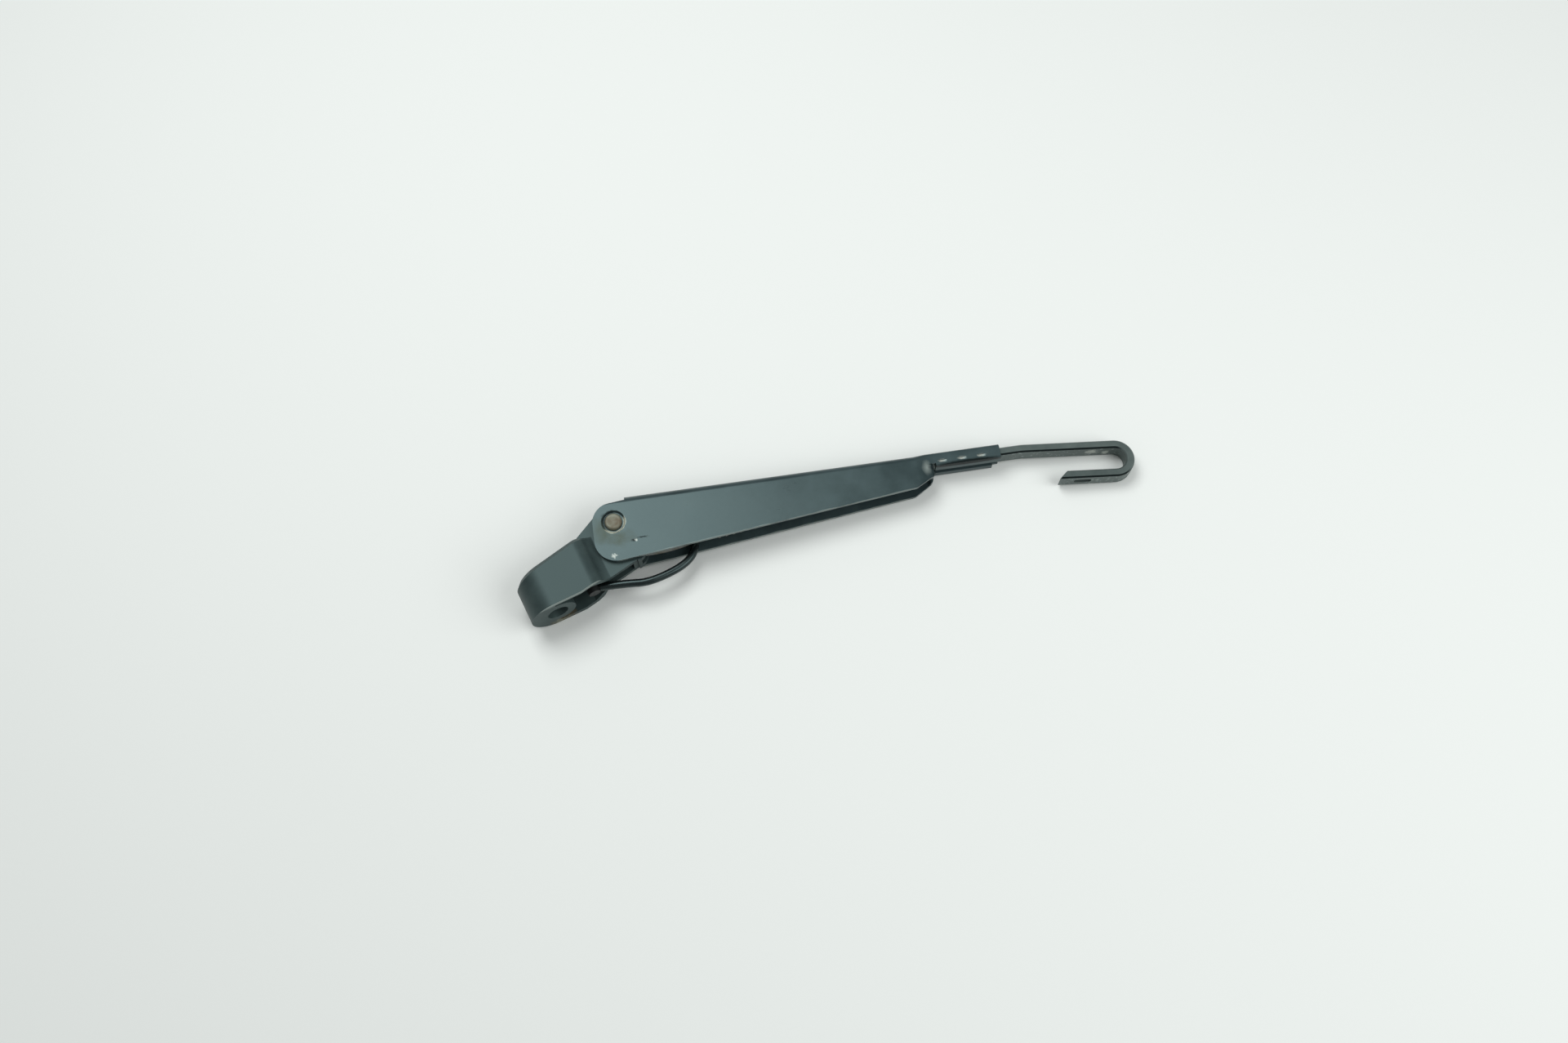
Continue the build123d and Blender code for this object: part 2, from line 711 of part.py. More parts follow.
# Hose elbow: upright stem under the head's hollow roof, with a nipple for the hose
elbow_setback = elbow_radius / math.cos(lean) + hose_radius * math.tan(lean) + fitting_clearance
elbow_along = hose_route[-1][0] - elbow_setback
elbow_out = hose_route[-1][1]
elbow_in_head = head_point((elbow_along, elbow_out))
elbow_roof = face_level + hollow_height
with BuildPart() as hose_elbow:
    with BuildSketch(
        Plane(
            origin=head.from_local_coords((elbow_in_head[0], elbow_roof, 0)), x_dir=head.x_dir, z_dir=-head.y_dir
        )
    ):
        Circle(elbow_radius)
    extrude(amount=elbow_roof - elbow_in_head[1] + elbow_radius)
    with BuildSketch(section_plane(elbow_along)):
        with Locations((0, elbow_out)):
            Circle(nipple_radius)
    extrude(amount=elbow_setback + nipple_length)
hose_elbow.part.label = "hose_elbow"
export_step(hose_elbow.part, "parts/hose_elbow.step")
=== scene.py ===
import json
import math
import bmesh
import bpy
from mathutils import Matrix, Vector


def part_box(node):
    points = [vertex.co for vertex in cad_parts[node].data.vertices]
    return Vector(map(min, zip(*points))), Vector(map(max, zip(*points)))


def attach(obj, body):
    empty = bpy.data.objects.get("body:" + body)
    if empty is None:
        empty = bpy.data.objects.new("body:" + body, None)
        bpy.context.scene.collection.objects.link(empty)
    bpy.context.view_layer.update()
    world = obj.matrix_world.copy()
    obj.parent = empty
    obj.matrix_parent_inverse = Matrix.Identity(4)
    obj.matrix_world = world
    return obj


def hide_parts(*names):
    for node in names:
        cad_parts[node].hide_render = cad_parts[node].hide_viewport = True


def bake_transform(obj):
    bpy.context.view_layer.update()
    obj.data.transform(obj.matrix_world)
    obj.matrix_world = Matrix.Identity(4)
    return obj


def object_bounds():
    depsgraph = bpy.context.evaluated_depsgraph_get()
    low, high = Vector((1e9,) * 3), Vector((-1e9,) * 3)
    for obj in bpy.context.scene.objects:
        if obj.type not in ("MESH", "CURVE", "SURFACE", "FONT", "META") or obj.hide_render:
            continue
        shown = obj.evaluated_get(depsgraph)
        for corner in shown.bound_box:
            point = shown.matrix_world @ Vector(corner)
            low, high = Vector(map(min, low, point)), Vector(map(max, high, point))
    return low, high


bl_info = {
    "name": "Wiper Arm",
    "version": (1, 0, 0),
    "blender": (4, 5, 0),
    "location": "View3D > Sidebar > Wiper Arm",
    "description": "Dresses a short spring-loaded wiper arm in worn black paint, bare steel and rubber",
    "category": "Object",
}

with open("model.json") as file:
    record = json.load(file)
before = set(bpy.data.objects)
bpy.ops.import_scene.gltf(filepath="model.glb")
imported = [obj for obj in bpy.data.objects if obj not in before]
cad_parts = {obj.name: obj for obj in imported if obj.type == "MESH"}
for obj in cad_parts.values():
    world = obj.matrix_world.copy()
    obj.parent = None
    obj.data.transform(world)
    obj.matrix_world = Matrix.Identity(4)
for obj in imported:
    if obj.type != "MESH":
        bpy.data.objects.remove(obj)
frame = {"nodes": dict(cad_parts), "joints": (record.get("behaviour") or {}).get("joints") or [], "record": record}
CAD_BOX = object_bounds()
MM = 0.001
JOINTS = {joint["name"]: joint for joint in frame["joints"]}
PIVOT = Vector(JOINTS["fold"]["pos_m"])
SPRING_PIN = Vector(JOINTS["link_swing"]["pos_m"])
PULL = Vector(JOINTS["spring_stretch"]["axis"])
MOUNTS = {mount["name"]: mount for mount in frame["record"]["mounts"]}
HEAD_DOWN = Vector(MOUNTS["spindle_bore"]["axis"])

# The stage in metres: soft lights placed from the arm's middle, the sky, the floor and the camera
LIGHTS = (
    {"name": "overhead softbox", "place": (-0.29, 0.43, 0.95), "size": 0.62, "power": 6.8},
    {"name": "front right fill", "place": (0.75, -0.4, 0.85), "size": 0.9, "power": 7.6},
)
SKY_STRENGTH = 0.3
FLOOR_HALF = 3.0
FLOOR_ROUGHNESS = 0.9
CAMERA_PLACE = Vector((75.0, -225.9, 651.4)) * MM
CAMERA_TARGET = Vector((112.8, 21.3, 0.0)) * MM
CAMERA_NEAR = 0.01
LENS_MM = 33.75
SENSOR_MM = 36.0

# Edges: points within the gap join, faces within the flat angle merge, and sharper edges are rounded.
# Tubes and turned pieces stay smooth up to their own angles, in degrees, and the bar is rounded less.
WELD_GAP = 0.002 * MM
FLAT_ANGLE = math.radians(0.05)
EDGE_ANGLE = 34
EDGE_STEPS = 2
LARGE_FACES_FIRST = 100
TUBE_ANGLE = 60
TURNED_ANGLE = 50
BAR_EDGE_SHARE = 0.6

# Parts of a noise texture's range over which a change fades in
NOISE_SPAN = (0.3, 0.7)
DUST_SPAN = (0.32, 0.72)
GRAIN_SPAN = (0.35, 0.68)
SPECK_SPAN = (0.56, 0.68)

# Paint: its reflection, how far its roughness strays, and its orange peel, 1.5 mm from crest to crest
PAINT_REFLECTION = 0.5
PAINT_SPREAD = (-0.04, 0.06)
PEEL_SIZE = 1.5
PEEL_DEPTH = 0.08 * MM
PEEL_STRENGTH = 0.1

# Other stuffs: how far their roughness strays, the patches' size in grains, and the strength of the relief
GRAIN_SPREAD = (-0.05, 0.07)
PATCH_GRAINS = 5
GRAIN_STRENGTH = 0.25

# Marks by the side that a surface faces: the fade, the side towards the glass, where the bar wears, and the bar's
# edge above it, which gets a painted shade
FACING_FADE = 0.12
GLASS_SIDE = (0, -1, 0)
GLASS_EDGE = (0, -0.7071, 0.7071)
# Heights of the head's near rim, which alone gets a painted highlight
NEAR_RIM = (9.5 * MM, 11.5 * MM)

# Painted highlight and wear along the flanges' free edges: their rise, a point on them, and the mark's height,
# fade and cover
LIP_RISE = math.radians(6.2)
LIP_START = (0, -19.7)
LIP_GRAIN = 9
LIP_REACH = (0.05 * MM, 0.6 * MM)
LIP_FADE = 0.25 * MM
LIP_COVER = 0.5

# Painted highlight and bare wear in a crescent on the dimple's wall: its ring, how far that frays, the side it is
# on and how it ends
RING_RADIUS = 6.05 * MM
RING_HALF_WIDTH = 0.55 * MM
RING_FRAY = 1.5 * MM
RING_GRAIN = 2.2
RING_SIDE = (0.5, -0.866, 0)
RING_FADE = (0.3 * MM, 2.0 * MM)

# The crimp's three stakes, in millimetres along the arm
STAKES = (158.84, 168.3, 177.76)

# The washer hose's route from the pivot, along the arm, out from the glass and across, in millimetres
HOSE_ROUTE = (
    (-10.0, -28.4, 0.0),
    (1.5, -28.4, 0.0),
    (14.0, -29.6, 0.0),
    (34.0, -21.5, -1.6),
    (37.5, -9.0, -4.0),
    (46.0, 2.0, -3.6),
    (64.0, 6.2, 0.0),
    (95.0, 6.2, 0.0),
)
HOSE_STEPS = 16
HOSE_SIDES = 20

# The spring: how far each end loop wraps, how many coil radii the coils start past a loop's middle,
# and the part turn that sets the loops square to each other
LOOP_WRAP = math.radians(200)
LOOP_STEPS = 20
COIL_SINK = 0.7
COIL_PART_TURN = 0.25
COIL_STEPS = 28
WIRE_SIDES = 10

# A rivet head: its height, its shank, its rounded edge as inset from the rim and drop from the top,
# in millimetres, and its dish as inset and share of the dish's depth
RIVET_HEAD = 1.7 * MM
RIVET_SHANK = 3.0 * MM
RIVET_EDGE = ((0.0, 0.75), (0.12, 0.42), (0.42, 0.12), (0.85, 0.0), (1.5, 0.03))
RIVET_DISH = ((2.1, 0.6), (2.9, 1.0))


def linear(code):
    """A linear colour from an sRGB hex code."""
    channels = [int(code[n : n + 2], 16) / 255 for n in (0, 2, 4)]
    return tuple(c / 12.92 if c <= 0.04045 else ((c + 0.055) / 1.055) ** 2.4 for c in channels)


def colour(label, words, code):
    """A colour property whose default is an sRGB hex code."""
    return bpy.props.FloatVectorProperty(
        name=label, description=words, subtype="COLOR", size=3, min=0, max=1, default=linear(code)
    )


def length(label, words, millimetres):
    """A length property whose default is given in millimetres."""
    return bpy.props.FloatProperty(
        name=label,
        description=words,
        subtype="DISTANCE",
        unit="LENGTH",
        min=0,
        precision=5,
        default=millimetres * MM,
    )


class ArmFinish(bpy.types.PropertyGroup):
    """Colours of the arm's finishes."""

    arm_paint: colour("Arm paint", "Black paint on the pressed channel", "232F31")
    arm_paint_dusty: colour("Arm paint, dusty", "The same paint under a film of dust", "3B494B")
    head_paint: colour("Head paint", "Black paint on the cast head", "242F2F")
    head_paint_dusty: colour("Head paint, dusty", "The same paint under a film of dust", "394645")
    bar_paint: colour("Bar paint", "Thin black paint on the hook bar", "444D4B")
    bar_paint_rubbed: colour("Bar paint, rubbed", "The same paint worn thin in patches", "545D5A")
    paint_gloss: colour("Paint gloss", "Tint of what the paint reflects", "DCFFFF")
    # Also used for the painted glints on the crimp's stakes
    bare_metal_and_glint: colour("Bare metal", "Steel that shows where paint has gone", "AEB3AB")
    # Also used for painted highlights on the flange edges, the crimp's bend and the head's near rim
    rubbed_metal_and_highlight: colour("Rubbed metal", "Steel that shows through thin paint", "7E8884")
    # Also used for the painted highlight on the dimple's wall
    worn_edge_and_highlight: colour("Worn edge", "Steel rubbed bare about the rivet", "9DA090")
    grime: colour("Grime", "Grey-brown dirt about the pivot", "4E584F")
    # Also used for painted shade on the bar's edge and in the crimp's fold
    soot_and_shade: colour("Soot", "Dark dirt in scratches and corners", "141A1A")
    rust: colour("Rust", "Thin brown rust on bare steel", "5B523F")
    rivet_steel: colour("Rivet steel", "Bare steel of the rivet's heads", "727667")
    spring_steel: colour("Spring steel", "Drawn wire of the spring and its link", "8C8F8B")
    hose_rubber: colour("Hose rubber", "Black rubber of the washer hose", "0C1011")
    fitting_plastic: colour("Fitting plastic", "Black moulded clip, jet and elbow", "161A1A")
    bush_plastic: colour("Bush plastic", "Pale moulded sleeve in the head", "B7AE98")
    floor: colour("Floor", "Pale studio floor", "E5EAE7")


class ArmSizes(bpy.types.PropertyGroup):
    """Sizes of what the scene adds to the solids."""

    hose_diameter: length("Hose diameter", "Outer diameter of the washer hose", 3.8)
    wire_radius: length("Wire radius", "Radius of the spring's wire", 0.9)
    coil_radius: length("Coil radius", "Mean radius of the spring's coils", 3.2)
    link_length: length("Link length", "From the spring pin to the link's far hole", 33.3)
    edge_round: length("Edge round", "Softening of the pressed and cast edges", 0.28)
    rivet_dish: length("Rivet dish", "Depth of the dish in each rivet head", 0.25)
    coil_turns: bpy.props.IntProperty(
        name="Coil turns", description="Whole turns of the spring", default=19, min=1
    )


def arm_point(along, out, across=0.0):
    """A point of the row's frame, from millimetres along the arm, out from the glass and across."""
    return PIVOT + Vector((along, out, across)) * MM


def add_node(tree, kind, links=None, **settings):
    """Adds a node, sets its properties, and fills its inputs from values or other nodes' sockets."""
    made = tree.nodes.new(kind)
    for name, value in settings.items():
        setattr(made, name, value)
    for name, value in (links or {}).items():
        socket = made.inputs[name]
        if isinstance(value, bpy.types.NodeSocket):
            tree.links.new(value, socket)
        else:
            socket.default_value = value
    return made


def new_material(name):
    """An empty node material and its tree."""
    material = bpy.data.materials.new(name)
    material.use_nodes = True
    material.node_tree.nodes.clear()
    return material, material.node_tree


def per(millimetres):
    """The texture scale that gives features of a real size."""
    return 1 / (millimetres * MM)


def opaque(rgb):
    """A colour with full alpha, for a node's colour socket."""
    return (*rgb, 1.0)


def dress(piece, material):
    """Gives a piece one material all over."""
    piece.data.materials.clear()
    piece.data.materials.append(material)


def soften(node, width):
    """Rounds a solid's edges a little, as presses, moulds and paint do."""
    piece = frame["nodes"][node]
    weld = piece.modifiers.new("weld", "WELD")
    weld.merge_threshold = WELD_GAP
    flat = piece.modifiers.new("flat faces", "DECIMATE")
    flat.decimate_type = "DISSOLVE"
    flat.angle_limit = FLAT_ANGLE
    bevel = piece.modifiers.new("edges", "BEVEL")
    bevel.width = width
    bevel.segments = EDGE_STEPS
    bevel.limit_method = "ANGLE"
    bevel.angle_limit = math.radians(EDGE_ANGLE)
    bevel.use_clamp_overlap = True
    smooth_by_angle(piece, EDGE_ANGLE)
    shade = piece.modifiers.new("flat shading", "WEIGHTED_NORMAL")
    shade.mode = "FACE_AREA"
    shade.weight = LARGE_FACES_FIRST
    shade.keep_sharp = True
    return piece


def smooth_by_angle(piece, degrees):
    """Shades a mesh smooth apart from its sharp edges."""
    for polygon in piece.data.polygons:
        polygon.use_smooth = True
    piece.data.set_sharp_from_angle(angle=math.radians(degrees))


def new_piece(name, mesh):
    """A mesh object in the scene's collection."""
    piece = bpy.data.objects.new(name, mesh)
    bpy.context.scene.collection.objects.link(piece)
    return piece


def round_piece(name, build, degrees):
    """A piece from a finished bmesh, shaded smooth apart from edges over an angle."""
    bmesh.ops.recalc_face_normals(build, faces=build.faces)
    mesh = bpy.data.meshes.new(name)
    build.to_mesh(mesh)
    build.free()
    piece = new_piece(name, mesh)
    smooth_by_angle(piece, degrees)
    return piece


def tube(name, points, radius, sides):
    """A round mesh tube along points, with closed ends."""
    build = bmesh.new()
    rings = []
    normal = None
    for n, point in enumerate(points):
        ahead = points[min(n + 1, len(points) - 1)]
        behind = points[max(n - 1, 0)]
        tangent = (ahead - behind).normalized()
        normal = tangent.orthogonal() if normal is None else normal - tangent * normal.dot(tangent)
        normal.normalize()
        side = tangent.cross(normal)
        ring = []
        for k in range(sides):
            angle = 2 * math.pi * k / sides
            spoke = normal * math.cos(angle) + side * math.sin(angle)
            ring.append(build.verts.new(point + spoke * radius))
        rings.append(ring)
    for one, two in zip(rings, rings[1:]):
        for k in range(sides):
            build.faces.new((one[k], one[(k + 1) % sides], two[(k + 1) % sides], two[k]))
    build.faces.new(list(reversed(rings[0])))
    build.faces.new(rings[-1])
    return round_piece(name, build, TUBE_ANGLE)


def lathe(name, profile, centre, segments=64):
    """A turned mesh about the pivot's direction, from points of radius and height."""
    build = bmesh.new()
    rings = []
    for radius, height in profile:
        if radius == 0:
            rings.append([build.verts.new(centre + Vector((0, 0, height)))])
            continue
        ring = []
        for k in range(segments):
            angle = 2 * math.pi * k / segments
            offset = Vector((radius * math.cos(angle), radius * math.sin(angle), height))
            ring.append(build.verts.new(centre + offset))
        rings.append(ring)
    for one, two in zip(rings, rings[1:]):
        for k in range(segments):
            first = [one[k % len(one)], one[(k + 1) % len(one)]]
            second = [two[(k + 1) % len(two)], two[k % len(two)]]
            # A ring of one point gives the same corner twice, and a triangle needs it once
            build.faces.new(list(dict.fromkeys(first + second)))
    return round_piece(name, build, TURNED_ANGLE)


def mark(tree, place, centre, radii, grain, ragged, soft):
    """How far a point lies inside a ragged oval mark, 0 at its rim and 1 inside; sizes in millimetres."""
    noise = add_node(
        tree, "ShaderNodeTexNoise", {"Vector": place, "Scale": per(grain), "Detail": 3.0}
    )
    offset = add_node(
        tree, "ShaderNodeVectorMath", {0: place, 1: arm_point(*centre)}, operation="SUBTRACT"
    )
    scaled = add_node(
        tree,
        "ShaderNodeVectorMath",
        {0: offset.outputs[0], 1: [per(radius) for radius in radii], 2: (-ragged / 2,) * 3},
        operation="MULTIPLY_ADD",
    )
    frayed = add_node(
        tree,
        "ShaderNodeVectorMath",
        {0: noise.outputs["Color"], 1: (ragged,) * 3, 2: scaled.outputs[0]},
        operation="MULTIPLY_ADD",
    )
    away = add_node(tree, "ShaderNodeVectorMath", {0: frayed.outputs[0]}, operation="LENGTH")
    return add_node(
        tree,
        "ShaderNodeMapRange",
        {"Value": away.outputs["Value"], "From Min": 1.0, "From Max": 1.0 - soft},
    ).outputs[0]


def painted(name, coat, dusty, patch, roughness, gloss, marks):
    """Dip-painted metal: satin, faintly orange-peeled, duller in broad patches, with marks laid over it."""
    material, tree = new_material(name)
    place = add_node(tree, "ShaderNodeTexCoord").outputs["Object"]
    broad = add_node(
        tree,
        "ShaderNodeTexNoise",
        {"Vector": place, "Scale": per(patch), "Detail": 5.0, "Roughness": 0.6},
    )
    share = add_node(
        tree,
        "ShaderNodeMapRange",
        {"Value": broad.outputs["Fac"], "From Min": DUST_SPAN[0], "From Max": DUST_SPAN[1]},
    )
    tone = add_node(
        tree,
        "ShaderNodeMix",
        {0: share.outputs[0], 6: opaque(coat), 7: opaque(dusty)},
        data_type="RGBA",
    ).outputs[2]
    dull = add_node(
        tree,
        "ShaderNodeMapRange",
        {
            "Value": broad.outputs["Fac"],
            "From Min": NOISE_SPAN[0],
            "From Max": NOISE_SPAN[1],
            "To Min": roughness + PAINT_SPREAD[0],
            "To Max": roughness + PAINT_SPREAD[1],
        },
    )
    peel = add_node(
        tree, "ShaderNodeTexNoise", {"Vector": place, "Scale": per(PEEL_SIZE), "Detail": 2.0}
    )
    bump = add_node(
        tree,
        "ShaderNodeBump",
        {"Strength": PEEL_STRENGTH, "Distance": PEEL_DEPTH, "Height": peel.outputs["Fac"]},
    )
    # Each mark lays its colour over what is below it and keeps a share of the paint's reflection
    reflection = PAINT_REFLECTION
    for inside, mark_colour, kept in marks(tree, place):
        tone = add_node(
            tree, "ShaderNodeMix", {0: inside, 6: tone, 7: opaque(mark_colour)}, data_type="RGBA"
        ).outputs[2]
        reflection = add_node(
            tree,
            "ShaderNodeMix",
            {0: inside, 2: reflection, 3: kept * PAINT_REFLECTION},
            data_type="FLOAT",
        ).outputs[0]
    links = {
        "Base Color": tone,
        "Roughness": dull.outputs[0],
        "Specular IOR Level": reflection,
        "Specular Tint": opaque(gloss),
        "Normal": bump.outputs[0],
    }
    shader = add_node(tree, "ShaderNodeBsdfPrincipled", links)
    add_node(tree, "ShaderNodeOutputMaterial", {"Surface": shader.outputs[0]})
    return material


def plain(name, coat, second, roughness, metallic, grain, depth, gloss=(1.0, 1.0, 1.0)):
    """One stuff with a slight grain: its colour, gloss and relief all vary a little."""
    material, tree = new_material(name)
    place = add_node(tree, "ShaderNodeTexCoord").outputs["Object"]
    broad = add_node(
        tree,
        "ShaderNodeTexNoise",
        {"Vector": place, "Scale": per(grain * PATCH_GRAINS), "Detail": 5.0},
    )
    fine = add_node(tree, "ShaderNodeTexNoise", {"Vector": place, "Scale": per(grain), "Detail": 3.0})
    share = add_node(
        tree,
        "ShaderNodeMapRange",
        {"Value": broad.outputs["Fac"], "From Min": GRAIN_SPAN[0], "From Max": GRAIN_SPAN[1]},
    )
    tone = add_node(
        tree,
        "ShaderNodeMix",
        {0: share.outputs[0], 6: opaque(coat), 7: opaque(second)},
        data_type="RGBA",
    )
    dull = add_node(
        tree,
        "ShaderNodeMapRange",
        {
            "Value": broad.outputs["Fac"],
            "From Min": NOISE_SPAN[0],
            "From Max": NOISE_SPAN[1],
            "To Min": roughness + GRAIN_SPREAD[0],
            "To Max": roughness + GRAIN_SPREAD[1],
        },
    )
    bump = add_node(
        tree,
        "ShaderNodeBump",
        {"Strength": GRAIN_STRENGTH, "Distance": depth * MM, "Height": fine.outputs["Fac"]},
    )
    links = {
        "Base Color": tone.outputs[2],
        "Roughness": dull.outputs[0],
        "Metallic": metallic,
        "Specular Tint": opaque(gloss),
        "Normal": bump.outputs[0],
    }
    shader = add_node(tree, "ShaderNodeBsdfPrincipled", links)
    add_node(tree, "ShaderNodeOutputMaterial", {"Surface": shader.outputs[0]})
    return material


def facing(tree, direction, least):
    """How squarely a surface faces a direction, from 0 at a least share to 1."""
    normal = add_node(tree, "ShaderNodeTexCoord").outputs["Normal"]
    square = add_node(
        tree, "ShaderNodeVectorMath", {0: normal, 1: direction}, operation="DOT_PRODUCT"
    )
    return add_node(
        tree,
        "ShaderNodeMapRange",
        {"Value": square.outputs["Value"], "From Min": least, "From Max": least + FACING_FADE},
    ).outputs[0]


def lip_highlight_and_wear(tree, place):
    """Thin painted highlight and wear along the flanges' free edges, which rise towards the hook."""
    above = add_node(
        tree, "ShaderNodeVectorMath", {0: place, 1: arm_point(*LIP_START)}, operation="SUBTRACT"
    )
    height = add_node(
        tree,
        "ShaderNodeVectorMath",
        {0: above.outputs[0], 1: (-math.sin(LIP_RISE), math.cos(LIP_RISE), 0)},
        operation="DOT_PRODUCT",
    )
    noise = add_node(
        tree, "ShaderNodeTexNoise", {"Vector": place, "Scale": per(LIP_GRAIN), "Detail": 5.0}
    )
    reach = add_node(
        tree,
        "ShaderNodeMapRange",
        {
            "Value": noise.outputs["Fac"],
            "From Min": NOISE_SPAN[0],
            "From Max": NOISE_SPAN[1],
            "To Min": LIP_REACH[0],
            "To Max": LIP_REACH[1],
        },
    )
    below = add_node(
        tree,
        "ShaderNodeMath",
        {0: reach.outputs[0], 1: height.outputs["Value"]},
        operation="SUBTRACT",
    )
    return add_node(
        tree,
        "ShaderNodeMapRange",
        {"Value": below.outputs[0], "From Min": 0.0, "From Max": LIP_FADE, "To Max": LIP_COVER},
    ).outputs[0]


def dimple_highlight_and_wear(tree, place):
    """Painted highlight and bare wear in a crescent on the side of the pivot's dimple that faces up the arm."""
    offset = add_node(tree, "ShaderNodeVectorMath", {0: place, 1: PIVOT}, operation="SUBTRACT")
    flat = add_node(
        tree, "ShaderNodeVectorMath", {0: offset.outputs[0], 1: (1, 1, 0)}, operation="MULTIPLY"
    )
    away = add_node(tree, "ShaderNodeVectorMath", {0: flat.outputs[0]}, operation="LENGTH")
    noise = add_node(
        tree, "ShaderNodeTexNoise", {"Vector": place, "Scale": per(RING_GRAIN), "Detail": 4.0}
    )
    frayed = add_node(
        tree,
        "ShaderNodeMath",
        {0: noise.outputs["Fac"], 1: RING_FRAY, 2: away.outputs["Value"]},
        operation="MULTIPLY_ADD",
    )
    ring = add_node(
        tree,
        "ShaderNodeMath",
        {0: frayed.outputs[0], 1: RING_RADIUS, 2: RING_HALF_WIDTH},
        operation="COMPARE",
    )
    side = add_node(
        tree, "ShaderNodeVectorMath", {0: flat.outputs[0], 1: RING_SIDE}, operation="DOT_PRODUCT"
    )
    lower = add_node(
        tree,
        "ShaderNodeMapRange",
        {"Value": side.outputs["Value"], "From Min": RING_FADE[0], "From Max": RING_FADE[1]},
    )
    return add_node(
        tree, "ShaderNodeMath", {0: ring.outputs[0], 1: lower.outputs[0]}, operation="MULTIPLY"
    ).outputs[0]


def aim(thing, place, target):
    """Puts a lamp or a camera in the scene and turns it towards a target."""
    bpy.context.scene.collection.objects.link(thing)
    thing.location = place
    thing.rotation_mode = "QUATERNION"
    thing.rotation_quaternion = (target - thing.location).to_track_quat("-Z", "Y")


class WIPER_OT_stage(bpy.types.Operator):
    """Makes the floor that the arm lies on, the light and the camera"""

    bl_idname = "wiper.stage"
    bl_label = "Stage"

    def execute(self, context):
        finish = context.scene.wiper_finish
        # The arm lies on its head and its hook, so the floor is the steepest line from one to the other
        head = frame["nodes"]["mounting_head"]
        hook_low, hook_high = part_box("hook_bar")
        corners = [head.matrix_world @ vertex.co for vertex in head.data.vertices]
        slope = max((hook_low.z - corner.z) / (hook_high.x - corner.x) for corner in corners)
        half = FLOOR_HALF
        card = [
            (x, y, hook_low.z + (x - hook_high.x) * slope)
            for x, y in ((-half, -half), (half, -half), (half, half), (-half, half))
        ]
        mesh = bpy.data.meshes.new("studio_floor")
        mesh.from_pydata(card, [], [(0, 1, 2, 3)])
        floor = new_piece("studio_floor", mesh)
        # White card: pale and matt, so that only soft shade shows on it
        material, tree = new_material("white studio card")
        shader = add_node(
            tree,
            "ShaderNodeBsdfPrincipled",
            {"Base Color": opaque(finish.floor), "Roughness": FLOOR_ROUGHNESS},
        )
        add_node(tree, "ShaderNodeOutputMaterial", {"Surface": shader.outputs[0]})
        dress(floor, material)
        for lamp in LIGHTS:
            self.light(**lamp)
        world = bpy.data.worlds.new("studio")
        world.use_nodes = True
        background = world.node_tree.nodes["Background"]
        background.inputs["Color"].default_value = (1, 1, 1, 1)
        background.inputs["Strength"].default_value = SKY_STRENGTH
        context.scene.world = world
        camera = bpy.data.objects.new("camera", bpy.data.cameras.new("camera"))
        camera.data.sensor_width = SENSOR_MM
        camera.data.lens = LENS_MM
        camera.data.clip_start = CAMERA_NEAR
        aim(camera, CAMERA_PLACE, CAMERA_TARGET)
        context.scene.camera = camera
        context.scene.view_settings.view_transform = "Standard"
        return {"FINISHED"}

    def light(self, name, place, size, power):
        """A square soft light aimed at the arm's middle."""
        lamp = bpy.data.lights.new(name, "AREA")
        lamp.size = size
        lamp.energy = power
        middle = (CAD_BOX[0] + CAD_BOX[1]) / 2
        aim(bpy.data.objects.new(name, lamp), middle + Vector(place), middle)


class WIPER_OT_washer_hose(bpy.types.Operator):
    """Makes the washer hose, which runs from the head along the arm"""

    bl_idname = "wiper.washer_hose"
    bl_label = "Washer hose"

    def execute(self, context):
        finish = context.scene.wiper_finish
        diameter = context.scene.wiper_sizes.hose_diameter
        curve = bpy.data.curves.new("hose_route", "CURVE")
        curve.dimensions = "3D"
        curve.resolution_u = HOSE_STEPS
        spline = curve.splines.new("NURBS")
        spline.points.add(len(HOSE_ROUTE) - 1)
        for point, place in zip(spline.points, HOSE_ROUTE):
            point.co = (*arm_point(*place), 1)
        spline.order_u = 3
        spline.use_endpoint_u = True
        route = bpy.data.objects.new("hose_route", curve)
        line = bpy.data.meshes.new_from_object(route)
        points = [vertex.co.copy() for vertex in line.vertices]
        bpy.data.meshes.remove(line)
        bpy.data.objects.remove(route)
        hose = tube("washer_hose_tube", points, diameter / 2, HOSE_SIDES)
        # Extruded EPDM rubber: nearly black and smooth, with a thin cool shine along it
        rubber = plain(
            "EPDM rubber, extruded",
            finish.hose_rubber,
            finish.fitting_plastic,
            roughness=0.27,
            metallic=0.0,
            grain=1.2,
            depth=0.02,
            gloss=finish.paint_gloss,
        )
        dress(hose, rubber)
        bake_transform(hose)
        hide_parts("washer_hose")
        return {"FINISHED"}


